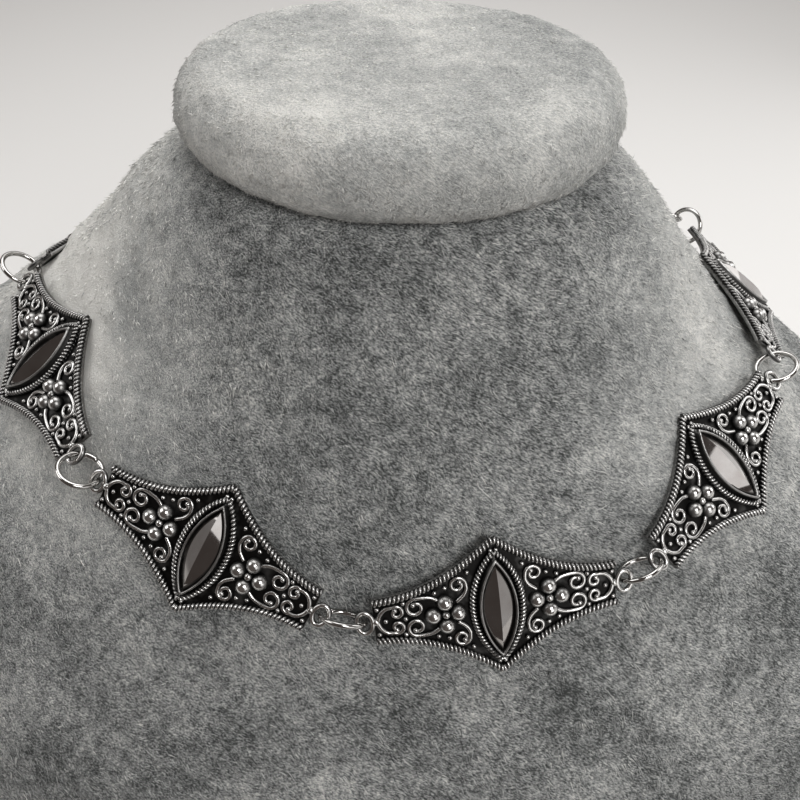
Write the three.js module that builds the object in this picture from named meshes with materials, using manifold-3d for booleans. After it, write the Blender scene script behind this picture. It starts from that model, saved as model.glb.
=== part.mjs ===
// A charm choker of six cast silver links, worn by a padded neck bust.
// Millimetres, +Z up. The bust stands on z = 0 with its neck on the Z axis and its front facing -Y.
import * as THREE from 'three';
import { mergeVertices } from 'three/addons/utils/BufferGeometryUtils.js';
import Module from 'manifold-3d';

const wasm = await Module();
wasm.setup();

// One link: a plate with four concave sides, a point above and below, and an eye at each end.
const halfLength = 18.8;
const apexHeight = 11.3;
const endHeight = 3.7;
const bendRadius = 198;
const plateBack = -1.35;
const groundLevel = -0.75;
const rimWidth = 1.15;
const plateSteps = 16;

// The pointed oval setting in the middle of a link, and the stone in it.
const collarHalfWidth = 4.15;
const collarHalfHeight = 9.25;
const collarTop = 0.1;
const bezelHalfWidth = 2.95;
const bezelHalfHeight = 8.2;
const bezelTop = 1.0;
const openingHalfWidth = 2.55;
const openingHalfHeight = 7.5;
const stoneHalfWidth = 2.22;
const stoneHalfHeight = 6.75;
const stoneEdge = 0.5;
const stoneRidge = 1.7;
const stoneGap = 0.3;
const wallRoot = 0.3;
const ovalSteps = 7;

// A flower of four balls round a small one stands each side of the setting.
const flowerOut = 8.0;
const petalOut = 1.87;
const petalRadius = 1.08;
const petalLevel = -0.55;
const buttonRadius = 0.6;
const buttonRise = 0.2;
const ballSides = 6;
const ballRings = 4;

// An oval wire eye at each end, and the jump ring that joins one link's eye to the next.
const eyeOut = 20.15;
const eyeHalfWidth = 1.2;
const eyeHalfHeight = 1.57;
const eyeWire = 0.37;
const eyeSteps = 12;
const eyeSides = 5;
const eyeLevel = -0.6;
const solderRadius = 0.7;
const solderInset = 0.3;
const solderLevel = -0.75;
const jumpRadius = 3.38;
const jumpWire = 0.45;
const jumpSteps = 20;
const jumpSides = 6;
const halfRing = 3.5;

// The bust's skin at each height: its half width, how far its widest line lies behind the neck's
// axis, and how far it reaches in front of and behind that axis.
const bustRows = [
  { height: 0, side: 112, widest: 2, front: 80, back: 66 },
  { height: 25, side: 114, widest: 3, front: 78, back: 68 },
  { height: 50, side: 112, widest: 6, front: 71.5, back: 68 },
  { height: 66, side: 104, widest: 9, front: 62.5, back: 65 },
  { height: 78, side: 94, widest: 11, front: 55, back: 60 },
  { height: 88, side: 82, widest: 12, front: 49, back: 54.5 },
  { height: 98, side: 69.3, widest: 12, front: 44, back: 48 },
  { height: 110, side: 55, widest: 11, front: 37.5, back: 41.5 },
  { height: 121, side: 46.8, widest: 9, front: 31.8, back: 36 },
  { height: 130, side: 39.5, widest: 6, front: 27, back: 31 },
  { height: 138, side: 32, widest: 2, front: 24, back: 25 },
];
const bustSegments = 40;
const bustSteps = 17;

// The padded oval cap lies on the neck with a hair's gap under it.
const capHalfWidth = 33.6;
const capHalfDepth = 27.6;
const capThick = 13.4;
const capGap = 0.3;
const capCrown = 0.8;
const capSteps = 8;
const capSegments = 36;

// Where each jump ring lies on the bust: its height, how far it stands off the skin, how far it
// tips out of the links' plane, and how far it sags off the line between its two eyes. The first
// row is the one behind the left shoulder, and the rest follow round the front.
const ringRows = [
  { name: 'jump_ring_back_left', height: 102, standoff: 7.5, tip: -78, sag: 0 },
  { name: 'jump_ring_left', height: 108.6, standoff: 7.8, tip: -72, sag: 1.8 },
  { name: 'jump_ring_front_left', height: 100.3, standoff: 7, tip: -60, sag: 1.2 },
  { name: 'jump_ring_front', height: 87.65, standoff: 6, tip: 82, sag: 0.3 },
  { name: 'jump_ring_front_right', height: 90.9, standoff: 6.3, tip: 92, sag: 0.4 },
  { name: 'jump_ring_right', height: 103.5, standoff: 6.4, tip: -60, sag: 0.6 },
  { name: 'jump_ring_back_right', height: 102.6, standoff: 8.3, tip: 72, sag: 0 },
];
const frontRing = 3;
const frontRingAround = -4.25;

// How finely the positions along the bust are searched for.
const settleRounds = 8;
const footRounds = 6;
const halvings = 40;
const widestTurn = 1.6;
const probe = 0.01;

// Each link between two jump rings, and how far it leans back from the skin's own slope.
const linkRows = [
  { name: 'link_back_left', lean: -1.3 },
  { name: 'link_left', lean: 3 },
  { name: 'link_front_left', lean: 4.1 },
  { name: 'link_front', lean: -3.2 },
  { name: 'link_right', lean: 5 },
  { name: 'link_back_right', lean: -1 },
];

// A fine chain closes the loop behind the neck, with one plain clasp at its middle.
const chainRadius = 0.9;
const chainEyeRadius = 1.5;
const chainSides = 6;
const chainSteps = 18;
const chainShares = [0.12, 0.2, 0.28, 0.36];
const routeEnd = 0.1;
const routeEase = 0.25;
const chainStandoff = 2.6;
const chainPlay = 0.1;
const claspHalfLength = 4.2;
const claspHalfWidth = 2.1;
const claspHalfThick = 1.2;
const claspEyeRadius = 1.3;
const claspEyeWire = 0.45;
const claspOverlap = 0.5;
const claspSides = 10;
const claspRings = 6;

const castSilver = new THREE.MeshStandardMaterial({ color: 0x8f8e8a, roughness: 0.35, metalness: 1 });
const brightSilver = new THREE.MeshStandardMaterial({ color: 0xb4b2ac, roughness: 0.2, metalness: 1 });
const darkStone = new THREE.MeshStandardMaterial({ color: 0x4a403a, roughness: 0.08, metalness: 1 });
const greyPlush = new THREE.MeshStandardMaterial({ color: 0x8b8d8c, roughness: 1, metalness: 0 });

// A geometry with only its positions, its shared corners merged.
function weld(geometry) {
  const bare = geometry.index ? geometry.toNonIndexed() : geometry.clone();
  bare.deleteAttribute('normal');
  bare.deleteAttribute('uv');
  return mergeVertices(bare, 1e-4);
}

function toSolid(geometry) {
  const welded = weld(geometry);
  const vertProperties = new Float32Array(welded.attributes.position.array);
  const triVerts = new Uint32Array(welded.index.array);
  return new wasm.Manifold(new wasm.Mesh({ numProp: 3, vertProperties, triVerts }));
}

function toGeometry(solid) {
  const mesh = solid.getMesh();
  const geometry = new THREE.BufferGeometry();
  geometry.setAttribute('position', new THREE.BufferAttribute(mesh.vertProperties, 3));
  geometry.setIndex(new THREE.BufferAttribute(mesh.triVerts, 1));
  geometry.computeVertexNormals();
  return geometry;
}

// A solid skinned over a row of loops that all have the same number of corners.
function loft(loops) {
  const around = loops[0].length;
  const positions = loops.flat().flatMap((p) => [p.x, p.y, p.z]);
  const index = [];
  for (let row = 0; row + 1 < loops.length; row += 1) {
    for (let k = 0; k < around; k += 1) {
      const a = row * around + k;
      const b = row * around + ((k + 1) % around);
      index.push(a, b, b + around, a, b + around, a + around);
    }
  }
  const flat = loops[0].map((p) => new THREE.Vector2(p.y, p.z));
  const last = (loops.length - 1) * around;
  for (const [a, b, c] of THREE.ShapeUtils.triangulateShape(flat, [])) {
    index.push(a, c, b, last + a, last + b, last + c);
  }
  const geometry = new THREE.BufferGeometry();
  geometry.setAttribute('position', new THREE.Float32BufferAttribute(positions, 3));
  geometry.setIndex(index);
  geometry.computeVertexNormals();
  return geometry;
}

// Height of a link's edge above its long axis: a parabola from the apex out to the flat ends.
function edgeHeight(x) {
  const rise = 1 - Math.abs(x) / halfLength;
  return endHeight + (apexHeight - endHeight) * rise * rise;
}

// The rim's width as seen along Y, so that it keeps its true width on the sloping edge.
function rimDepth(x) {
  const slope = (2 * (apexHeight - endHeight) * (1 - Math.abs(x) / halfLength)) / halfLength;
  return rimWidth * Math.hypot(1, slope);
}

// The links are bowed a little to follow the neck.
function bow(x) {
  return (eyeOut * eyeOut - x * x) / (2 * bendRadius);
}

function bowed(geometry) {
  const position = geometry.attributes.position;
  for (let i = 0; i < position.count; i += 1) {
    position.setZ(i, position.getZ(i) + bow(position.getX(i)));
  }
  return geometry;
}

// Plate and raised rim in one: a shallow trough whose walls follow the concave edges.
function plateSolid() {
  const loops = [];
  for (let step = 0; step <= plateSteps; step += 1) {
    const x = halfLength * ((2 * step) / plateSteps - 1);
    const edge = edgeHeight(x);
    const inner = edge - rimDepth(x);
    const profile = [
      [edge, plateBack],
      [edge, 0],
      [inner, 0],
      [inner, groundLevel],
      [-inner, groundLevel],
      [-inner, 0],
      [-edge, 0],
      [-edge, plateBack],
    ];
    loops.push(profile.map(([y, z]) => new THREE.Vector3(x, y, z)));
  }
  return toSolid(bowed(loft(loops)));
}

// A pointed oval, its two sides arcs that meet at the tips.
function pointedOval(halfWidth, halfHeight) {
  const radius = (halfWidth * halfWidth + halfHeight * halfHeight) / (2 * halfWidth);
  const reach = Math.asin(halfHeight / radius);
  const points = [];
  for (const side of [1, -1]) {
    for (let step = 0; step < ovalSteps; step += 1) {
      const turn = -reach + (2 * reach * step) / ovalSteps;
      const x = radius * Math.cos(turn) - (radius - halfWidth);
      points.push(new THREE.Vector2(side * x, side * radius * Math.sin(turn)));
    }
  }
  return points;
}

// A pointed oval wall standing on the plate round the stone's seat.
function ovalWall(halfWidth, halfHeight, top) {
  const shape = new THREE.Shape(pointedOval(halfWidth, halfHeight));
  shape.holes.push(new THREE.Path(pointedOval(openingHalfWidth, openingHalfHeight)));
  const foot = groundLevel - wallRoot;
  const wall = new THREE.ExtrudeGeometry(shape, { depth: top - foot, bevelEnabled: false });
  wall.translate(0, 0, foot);
  return toSolid(bowed(wall));
}

function ballSolid(x, y, z, radius) {
  const ball = new THREE.SphereGeometry(radius, ballSides, ballRings);
  ball.rotateX(Math.PI / 2);
  ball.translate(x, y, z + bow(x));
  return toSolid(ball);
}

function flowerSolids(side) {
  const out = side * flowerOut;
  const petals = [0, 1, 2, 3].map((quarter) => {
    const turn = (quarter * Math.PI) / 2;
    return ballSolid(
      out + petalOut * Math.cos(turn),
      petalOut * Math.sin(turn),
      petalLevel,
      petalRadius,
    );
  });
  return [...petals, ballSolid(out, 0, petalLevel + buttonRise, buttonRadius)];
}

// A round wire bent into a closed oval in the XY plane.
function wireLoop(halfWidth, halfHeight, wire, steps, sides) {
  const loop = new THREE.TorusGeometry(1, wire, sides, steps);
  const position = loop.attributes.position;
  for (let i = 0; i < position.count; i += 1) {
    const out = new THREE.Vector2(position.getX(i), position.getY(i));
    const spoke = out.clone().normalize();
    const fromWire = out.length() - 1;
    position.setX(i, spoke.x * (halfWidth + fromWire));
    position.setY(i, spoke.y * (halfHeight + fromWire));
  }
  return loop;
}

function eyeSolid(side) {
  const eye = wireLoop(eyeHalfWidth, eyeHalfHeight, eyeWire, eyeSteps, eyeSides);
  eye.translate(side * eyeOut, 0, eyeLevel);
  const solder = ballSolid(side * (halfLength - solderInset), 0, solderLevel, solderRadius);
  return toSolid(eye).add(solder);
}

// The whole casting: plate, rim, setting, flowers and both eyes, soldered into one.
function castingGeometry() {
  const collar = ovalWall(collarHalfWidth, collarHalfHeight, collarTop);
  const bezel = ovalWall(bezelHalfWidth, bezelHalfHeight, bezelTop);
  const ends = [eyeSolid(1), eyeSolid(-1), ...flowerSolids(1), ...flowerSolids(-1)];
  const casting = [collar, bezel, ...ends].reduce((sum, part) => sum.add(part), plateSolid());
  return toGeometry(casting);
}

// A roof-shaped stone: a pointed oval girdle with a ridge along its length.
function stoneGeometry() {
  const girdle = pointedOval(stoneHalfWidth, stoneHalfHeight);
  const bottom = groundLevel + stoneGap;
  const heights = [bottom, stoneEdge];
  const count = girdle.length;
  const positions = heights.flatMap((z) => girdle.flatMap((p) => [p.x, p.y, z]));
  const ridge = girdle.slice(1, ovalSteps).map((p) => [0, p.y, stoneRidge]);
  positions.push(...ridge.flat());
  const ridgeStart = 2 * count;
  const index = [];
  for (let k = 0; k < count; k += 1) {
    const next = (k + 1) % count;
    index.push(k, next, count + next, k, count + next, count + k);
  }
  const crest = (k) => ridgeStart + Math.min(Math.max(k, 1), ovalSteps - 1) - 1;
  for (let k = 0; k < ovalSteps; k += 1) {
    const here = count + k;
    index.push(here, here + 1 === 2 * count ? count : here + 1, crest(k + 1));
    if (crest(k) !== crest(k + 1)) index.push(here, crest(k + 1), crest(k));
    const far = count + ovalSteps + k;
    const farNext = count + ((ovalSteps + k + 1) % count);
    index.push(far, farNext, crest(ovalSteps - k - 1));
    if (crest(ovalSteps - k) !== crest(ovalSteps - k - 1)) {
      index.push(far, crest(ovalSteps - k - 1), crest(ovalSteps - k));
    }
  }
  const base = THREE.ShapeUtils.triangulateShape(girdle, []);
  for (const [a, b, c] of base) index.push(a, c, b);
  const geometry = new THREE.BufferGeometry();
  geometry.setAttribute('position', new THREE.Float32BufferAttribute(positions, 3));
  geometry.setIndex(index);
  geometry.computeVertexNormals();
  return geometry;
}

// The bust's section at a height, eased between the rows of the table.
function bustSection(height) {
  const last = bustRows.length - 2;
  let row = 0;
  while (row < last && height > bustRows[row + 1].height) row += 1;
  const lower = bustRows[row];
  const upper = bustRows[row + 1];
  const span = upper.height - lower.height;
  const t = THREE.MathUtils.clamp((height - lower.height) / span, 0, 1);
  const value = (key) => {
    const before = bustRows[Math.max(row - 1, 0)];
    const after = bustRows[Math.min(row + 2, bustRows.length - 1)];
    const slopeIn = (span * (upper[key] - before[key])) / (upper.height - before.height);
    const slopeOut = (span * (after[key] - lower[key])) / (after.height - lower.height);
    const a = 2 * (lower[key] - upper[key]) + slopeIn + slopeOut;
    const b = 3 * (upper[key] - lower[key]) - 2 * slopeIn - slopeOut;
    return ((a * t + b) * t + slopeIn) * t + lower[key];
  };
  const widest = value('widest');
  return { side: value('side'), widest, front: value('front'), back: value('back') };
}

// A point of the bust's skin; around is 0 at the front and grows towards +X.
function skinPoint(around, height) {
  const { side, widest, front, back } = bustSection(height);
  const reach = Math.cos(around) > 0 ? front + widest : back - widest;
  return new THREE.Vector3(side * Math.sin(around), widest - reach * Math.cos(around), height);
}

function skinNormal(around, height) {
  const along = skinPoint(around + probe, height).sub(skinPoint(around - probe, height));
  const up = skinPoint(around, height + probe).sub(skinPoint(around, height - probe));
  return along.cross(up).normalize();
}

// The point at the given height that stands off the skin by the given distance.
function offSkin(around, height, standoff) {
  let foot = height;
  for (let round = 0; round < footRounds; round += 1) {
    foot = height - standoff * skinNormal(around, foot).z;
  }
  return skinPoint(around, foot).addScaledVector(skinNormal(around, foot), standoff);
}

// A lathe of unit radius whose rings are stretched to the given half width, front and back.
function stretchedLathe(rows, segments) {
  const profile = rows.map((row, i) => new THREE.Vector2(row.side === 0 ? 0 : 1, i));
  const shell = weld(new THREE.LatheGeometry(profile, segments));
  const position = shell.attributes.position;
  for (let i = 0; i < position.count; i += 1) {
    const row = rows[Math.round(position.getY(i))];
    const x = position.getX(i);
    const depth = position.getZ(i);
    const reach = depth > 0 ? row.front + row.widest : row.back - row.widest;
    position.setXYZ(i, x * row.side, row.widest - depth * reach, row.height);
  }
  shell.computeVertexNormals();
  return shell;
}

function bustGeometry() {
  const top = bustRows[bustRows.length - 1].height;
  const rows = [{ side: 0, widest: 0, front: 0, back: 0, height: 0 }];
  for (let step = 0; step <= bustSteps; step += 1) {
    const height = (top * step) / bustSteps;
    rows.push({ ...bustSection(height), height });
  }
  rows.push({ side: 0, widest: 0, front: 0, back: 0, height: top });
  return stretchedLathe(rows, bustSegments);
}

function capGeometry() {
  const bottom = bustRows[bustRows.length - 1].height + capGap;
  const round = capThick / 2;
  const rows = [{ side: 0, widest: 0, front: 0, back: 0, height: bottom }];
  for (let step = 0; step <= capSteps; step += 1) {
    const turn = -Math.PI / 2 + (Math.PI * step) / capSteps;
    const inset = round * (1 - Math.cos(turn));
    const depth = capHalfDepth - inset;
    rows.push({
      side: capHalfWidth - inset,
      widest: 0,
      front: depth,
      back: depth,
      height: bottom + round * (1 + Math.sin(turn)),
    });
  }
  rows.push({ side: 0, widest: 0, front: 0, back: 0, height: bottom + capThick + capCrown });
  return stretchedLathe(rows, capSegments);
}

// A line through two points, as a frame for a piece: X along it, Z out from the skin.
function frameAlong(start, end, outward) {
  const along = end.clone().sub(start).normalize();
  const out = outward.clone().addScaledVector(along, -outward.dot(along)).normalize();
  const up = out.clone().cross(along);
  return new THREE.Matrix4().makeBasis(along, up, out);
}

// The joints of the chain of links, found row by row outwards from the front one. A link takes
// up its own length and the reach of half a jump ring at each end.
function ringJoints(reaches) {
  const joints = [];
  const place = (row, around) => {
    const { height, standoff } = ringRows[row];
    joints[row] = { around, height, point: offSkin(around, height, standoff), reach: reaches[row] };
  };
  place(frontRing, THREE.MathUtils.degToRad(frontRingAround));
  for (const direction of [-1, 1]) {
    for (let row = frontRing + direction; ringRows[row]; row += direction) {
      const from = joints[row - direction];
      const pitch = 2 * eyeOut + from.reach + reaches[row];
      const { height, standoff } = ringRows[row];
      let near = from.around;
      let far = from.around + direction * widestTurn;
      for (let halving = 0; halving < halvings; halving += 1) {
        const middle = (near + far) / 2;
        const short = offSkin(middle, height, standoff).distanceTo(from.point) < pitch;
        if (short) near = middle;
        else far = middle;
      }
      place(row, near);
    }
  }
  return joints;
}

// A joint's reach grows with the turn that the chain takes there, since every ring is one size.
function settledJoints() {
  const halfGaps = ringRows.map((row) => Math.sqrt(halfRing * halfRing - row.sag * row.sag));
  let reaches = halfGaps;
  for (let round = 0; round < settleRounds; round += 1) {
    const joints = ringJoints(reaches);
    reaches = joints.map((joint, i) => {
      const before = joints[i - 1] ? joints[i - 1].point : backRoute(joints, 1 - routeEnd).point;
      const after = joints[i + 1] ? joints[i + 1].point : backRoute(joints, routeEnd).point;
      const turn = joint.point.clone().sub(before).angleTo(after.clone().sub(joint.point));
      return halfGaps[i] / Math.cos(turn / 2);
    });
  }
  return ringJoints(reaches);
}

// The route behind the neck, from the last joint on the right (0) to the first on the left (1).
function backRoute(joints, t) {
  const { lerp, smoothstep } = THREE.MathUtils;
  const lastRow = joints.length - 1;
  const around = lerp(joints[lastRow].around, joints[0].around + 2 * Math.PI, t);
  const height = lerp(joints[lastRow].height, joints[0].height, smoothstep(t, 0, 1));
  const fromRight = (ringRows[lastRow].standoff - chainStandoff) * (1 - smoothstep(t, 0, routeEase));
  const fromLeft = (ringRows[0].standoff - chainStandoff) * smoothstep(t, 1 - routeEase, 1);
  return {
    point: offSkin(around, height, chainStandoff + fromRight + fromLeft),
    outward: skinNormal(around, height),
  };
}

const joints = settledJoints();
const group = new THREE.Group();
group.name = 'charm_choker_on_neck_bust';

function addPiece(name, geometry, material, matrix) {
  const mesh = new THREE.Mesh(geometry, material);
  mesh.name = name;
  if (matrix) mesh.applyMatrix4(matrix);
  group.add(mesh);
  return mesh;
}

addPiece('bust_body', bustGeometry(), greyPlush);
addPiece('bust_cap', capGeometry(), greyPlush);

// Links: each casting with its stone lies on the chord between two joints.
const casting = castingGeometry();
const stone = stoneGeometry();
stone.translate(0, 0, bow(0));
const linkFrames = linkRows.map((row, i) => {
  const left = joints[i];
  const right = joints[i + 1];
  const outward = skinNormal((left.around + right.around) / 2, (left.height + right.height) / 2);
  const frame = frameAlong(left.point, right.point, outward);
  frame.multiply(new THREE.Matrix4().makeRotationX(THREE.MathUtils.degToRad(-row.lean)));
  const along = right.point.clone().sub(left.point).normalize();
  frame.setPosition(left.point.clone().addScaledVector(along, left.reach + eyeOut));
  addPiece(row.name, casting, castSilver, frame);
  addPiece(`${row.name}_stone`, stone, darkStone, frame);
  return frame;
});

// The centre of an eye that lies the given way out along a frame's own X.
function eyeCentre(frame, out) {
  return new THREE.Vector3(out, 0, out === 0 ? 0 : eyeLevel).applyMatrix4(frame);
}

// The frame of a piece centred on the back route at t and lying along it.
function backFrame(t) {
  const ends = [t - probe, t + probe].map((end) => backRoute(joints, end).point);
  const { point, outward } = backRoute(joints, t);
  return frameAlong(ends[0], ends[1], outward).setPosition(point);
}

// The chain's own eye, one joint's reach behind an outer jump ring, towards the clasp.
function chainEyeFrame(joint, t) {
  const next = backRoute(joints, t).point;
  const along = next.clone().sub(joint.point).normalize();
  const ends = joint === joints[0] ? [next, joint.point] : [joint.point, next];
  const frame = frameAlong(ends[0], ends[1], skinNormal(joint.around, joint.height));
  return frame.setPosition(joint.point.clone().addScaledVector(along, joint.reach));
}

const chainEyes = {
  left: chainEyeFrame(joints[0], 1 - routeEnd),
  right: chainEyeFrame(joints[joints.length - 1], routeEnd),
};
const claspFrame = backFrame(0.5);
const claspReach = claspHalfLength + 2 * claspEyeRadius + chainPlay;

// Jump rings: each lies between two eyes and tips out of their plane.
const eyeFrames = [
  { before: chainEyes.left, beforeOut: 0, after: linkFrames[0] },
  ...linkRows.slice(1).map((row, i) => ({ before: linkFrames[i], after: linkFrames[i + 1] })),
  { before: linkFrames[linkRows.length - 1], after: chainEyes.right, afterOut: 0 },
];
ringRows.forEach((row, i) => {
  const { before, after, beforeOut = eyeOut, afterOut = eyeOut } = eyeFrames[i];
  const start = eyeCentre(before, beforeOut);
  const end = eyeCentre(after, -afterOut);
  const outward = new THREE.Vector3().setFromMatrixColumn(before, 2);
  outward.add(new THREE.Vector3().setFromMatrixColumn(after, 2));
  const frame = frameAlong(start, end, outward);
  frame.multiply(new THREE.Matrix4().makeRotationX(THREE.MathUtils.degToRad(row.tip)));
  const down = new THREE.Vector3().setFromMatrixColumn(frame, 1).negate();
  frame.setPosition(start.add(end).multiplyScalar(0.5).addScaledVector(down, row.sag));
  const ring = new THREE.TorusGeometry(jumpRadius, jumpWire, jumpSides, jumpSteps);
  addPiece(row.name, ring, brightSilver, frame);
});

// A fine chain as one round bar along its route, with an eye at each end. The route leaves an
// outer jump ring at t = ringEnd and stops short of the clasp in the middle.
function chainGeometry(ringEye, ringEnd) {
  const direction = ringEnd === 0 ? 1 : -1;
  const toClasp = new THREE.Matrix4().makeTranslation(-direction * claspReach, 0, 0);
  const claspEye = toClasp.premultiply(claspFrame);
  const eye = new THREE.TorusGeometry(chainEyeRadius, eyeWire, eyeSides, eyeSteps);
  const eyes = [ringEye, claspEye].map((frame) => toSolid(eye.clone().applyMatrix4(frame)));
  const endOf = (frame, side) => new THREE.Vector3(side * chainEyeRadius, 0, 0).applyMatrix4(frame);
  const points = [endOf(ringEye, direction)];
  for (const share of chainShares) {
    points.push(backRoute(joints, ringEnd + direction * share).point);
  }
  points.push(endOf(claspEye, -direction));
  const extrudePath = new THREE.CatmullRomCurve3(points);
  const rim = new THREE.EllipseCurve(0, 0, chainRadius, chainRadius).getPoints(chainSides);
  const section = new THREE.Shape(rim.slice(0, chainSides));
  const bar = new THREE.ExtrudeGeometry(section, { steps: chainSteps, extrudePath, bevelEnabled: false });
  return toGeometry(eyes.reduce((sum, part) => sum.add(part), toSolid(bar)));
}

addPiece('chain_right', chainGeometry(chainEyes.right, 0), brightSilver);
addPiece('chain_left', chainGeometry(chainEyes.left, 1), brightSilver);

// The clasp: a smooth oval body with an eye at each end, standing across the chain's eyes.
function claspGeometry() {
  const body = new THREE.SphereGeometry(1, claspSides, claspRings);
  body.scale(claspHalfLength + claspOverlap, claspHalfWidth, claspHalfThick);
  let clasp = toSolid(body);
  for (const side of [-1, 1]) {
    const eye = new THREE.TorusGeometry(claspEyeRadius, claspEyeWire, eyeSides, eyeSteps);
    eye.rotateX(Math.PI / 2);
    eye.translate(side * (claspHalfLength + claspEyeRadius), 0, 0);
    clasp = clasp.add(toSolid(eye));
  }
  return toGeometry(clasp);
}
addPiece('clasp', claspGeometry(), brightSilver, claspFrame);

export default group;
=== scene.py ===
# A charm choker of six cast silver links on a grey plush neck bust.
import math
import bpy
import bmesh
import numpy as np
from mathutils import Matrix, Vector, noise
from mathutils.bvhtree import BVHTree


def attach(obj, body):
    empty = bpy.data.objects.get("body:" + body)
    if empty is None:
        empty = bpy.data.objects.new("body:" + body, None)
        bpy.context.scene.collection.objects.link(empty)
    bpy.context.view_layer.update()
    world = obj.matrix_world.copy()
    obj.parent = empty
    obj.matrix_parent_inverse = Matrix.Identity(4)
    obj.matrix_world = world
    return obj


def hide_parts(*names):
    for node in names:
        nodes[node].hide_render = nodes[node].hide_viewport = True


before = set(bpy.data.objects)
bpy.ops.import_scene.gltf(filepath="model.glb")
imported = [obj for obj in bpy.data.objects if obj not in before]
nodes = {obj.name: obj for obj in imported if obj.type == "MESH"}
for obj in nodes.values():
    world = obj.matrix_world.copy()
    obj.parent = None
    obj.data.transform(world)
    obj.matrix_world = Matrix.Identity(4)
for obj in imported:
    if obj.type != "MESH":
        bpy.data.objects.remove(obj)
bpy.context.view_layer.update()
mm = 0.001

linkNames = ["link_back_left", "link_left", "link_front_left",
             "link_front", "link_right", "link_back_right"]
ringNames = ["jump_ring_back_left", "jump_ring_left", "jump_ring_front_left", "jump_ring_front",
             "jump_ring_front_right", "jump_ring_right", "jump_ring_back_right"]
chainNames = ["chain_left", "chain_right"]


# shader maths

class Channel:
    # a socket that adds up like a number
    def __init__(self, finish, socket):
        self.finish = finish
        self.socket = socket

    def math(self, operation, *values):
        return self.finish.node("ShaderNodeMath", {"operation": operation}, *values)

    def __add__(self, other): return self.math("ADD", self, other)
    def __radd__(self, other): return self.math("ADD", other, self)
    def __sub__(self, other): return self.math("SUBTRACT", self, other)
    def __rsub__(self, other): return self.math("SUBTRACT", other, self)
    def __mul__(self, other): return self.math("MULTIPLY", self, other)
    def __rmul__(self, other): return self.math("MULTIPLY", other, self)

    def clamp(self, low=0.0, high=1.0):
        return self.finish.node("ShaderNodeClamp", {}, self, low, high)


class Finish:
    # one material and its nodes
    def __init__(self, name):
        self.material = bpy.data.materials.new(name)
        self.material.use_nodes = True
        self.tree = self.material.node_tree
        self.surface = self.tree.nodes["Principled BSDF"]

    def node(self, kind, settings, *values, output=0, **named):
        made = self.tree.nodes.new(kind)
        for key, value in settings.items():
            if key == "stops":  # a ramp's places and colours
                ramp = made.color_ramp
                while len(ramp.elements) < len(value):
                    ramp.elements.new(0.5)
                for element, (place, colour) in zip(ramp.elements, value):
                    element.position = place
                    element.color = (*colour, 1)
            else:
                setattr(made, key, value)
        sockets = [(made.inputs[i], value) for i, value in enumerate(values)]
        sockets += [(made.inputs[key.replace("_", " ")], value) for key, value in named.items()]
        for socket, value in sockets:
            self.plug(socket, value)
        return Channel(self, made.outputs[output])

    def plug(self, socket, value):
        if isinstance(value, Channel):
            self.tree.links.new(value.socket, socket)
        elif value is not None:
            socket.default_value = value

    def place(self):
        return self.node("ShaderNodeTexCoord", {}, output="Object")

    def attribute(self, name):
        return self.node("ShaderNodeAttribute", {"attribute_name": name}, output="Fac")

    def noise(self, vector, scale, detail=3.0, roughness=0.5):
        return self.node("ShaderNodeTexNoise", {}, output="Fac", Vector=vector, Scale=scale,
                         Detail=detail, Roughness=roughness)

    def mix(self, amount, first, second):
        # the node's colours come after five sockets for numbers and vectors
        colours = [c if isinstance(c, Channel) else (*c, 1) for c in (first, second)]
        return self.node("ShaderNodeMix", {"data_type": "RGBA"}, amount, *[None] * 5, *colours,
                         output=2)

    def ramp(self, stops, tone):
        return self.node("ShaderNodeValToRGB", {"stops": stops}, tone.clamp())

    def bump(self, height, strength, distance):
        return self.node("ShaderNodeBump", {}, Height=height, Strength=strength, Distance=distance)

    def set(self, **values):
        for key, value in values.items():
            self.plug(self.surface.inputs[key.replace("_", " ")], value)
        return self.material


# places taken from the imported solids

def solidAxes(node):
    # centre of a solid's skin and its principal directions, thinnest first
    mesh = node.data
    mesh.calc_loop_triangles()
    places = np.array([v.co for v in mesh.vertices])
    corners = places[np.array([t.vertices for t in mesh.loop_triangles])]
    crossed = np.cross(corners[:, 1] - corners[:, 0], corners[:, 2] - corners[:, 0])
    areas = np.linalg.norm(crossed, axis=1)
    centre = (areas[:, None] * corners.mean(axis=1)).sum(axis=0) / areas.sum()
    corners = corners - centre
    total = corners.sum(axis=1)
    spread = np.einsum("t,tki,tkj->ij", areas, corners, corners)
    spread += np.einsum("t,ti,tj->ij", areas, total, total)
    directions = np.linalg.eigh(spread)[1].T
    return Vector(centre), [Vector(d) for d in directions]


def facing(direction, way):
    return direction if direction.dot(way) > 0 else -direction


def axesMatrix(origin, along, outward):
    up = outward.cross(along)
    return Matrix.Translation(origin) @ Matrix((along, up, outward)).transposed().to_4x4()


def linkFrame(node, frontHeight):
    # X along the link round the front from left to right, Z out of the neck; the origin
    # is frontHeight below the highest point of the setting
    centre, (thin, _, long) = solidAxes(node)
    outward = facing(thin, Vector((centre.x, centre.y, 0)))
    along = facing(long, Vector((-centre.y, centre.x, 0)))
    highest = max((v.co - centre).dot(outward) for v in node.data.vertices)
    return axesMatrix(centre + outward * (highest - frontHeight * mm), along, outward)


# modelling helpers, in millimetres until a piece is placed

def smoothLine(points, steps):
    # a smooth line through the points, each stretch cut into steps
    last = len(points) - 1
    line = []
    for i in range(last):
        a, b, c, d = points[max(i - 1, 0)], points[i], points[i + 1], points[min(i + 2, last)]
        for step in range(steps):
            t = step / steps
            line.append(0.5 * (2 * b + (c - a) * t + (2 * a - 5 * b + 4 * c - d) * t ** 2
                               + (3 * b - a - 3 * c + d) * t ** 3))
    return line + [points[-1]]


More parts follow.
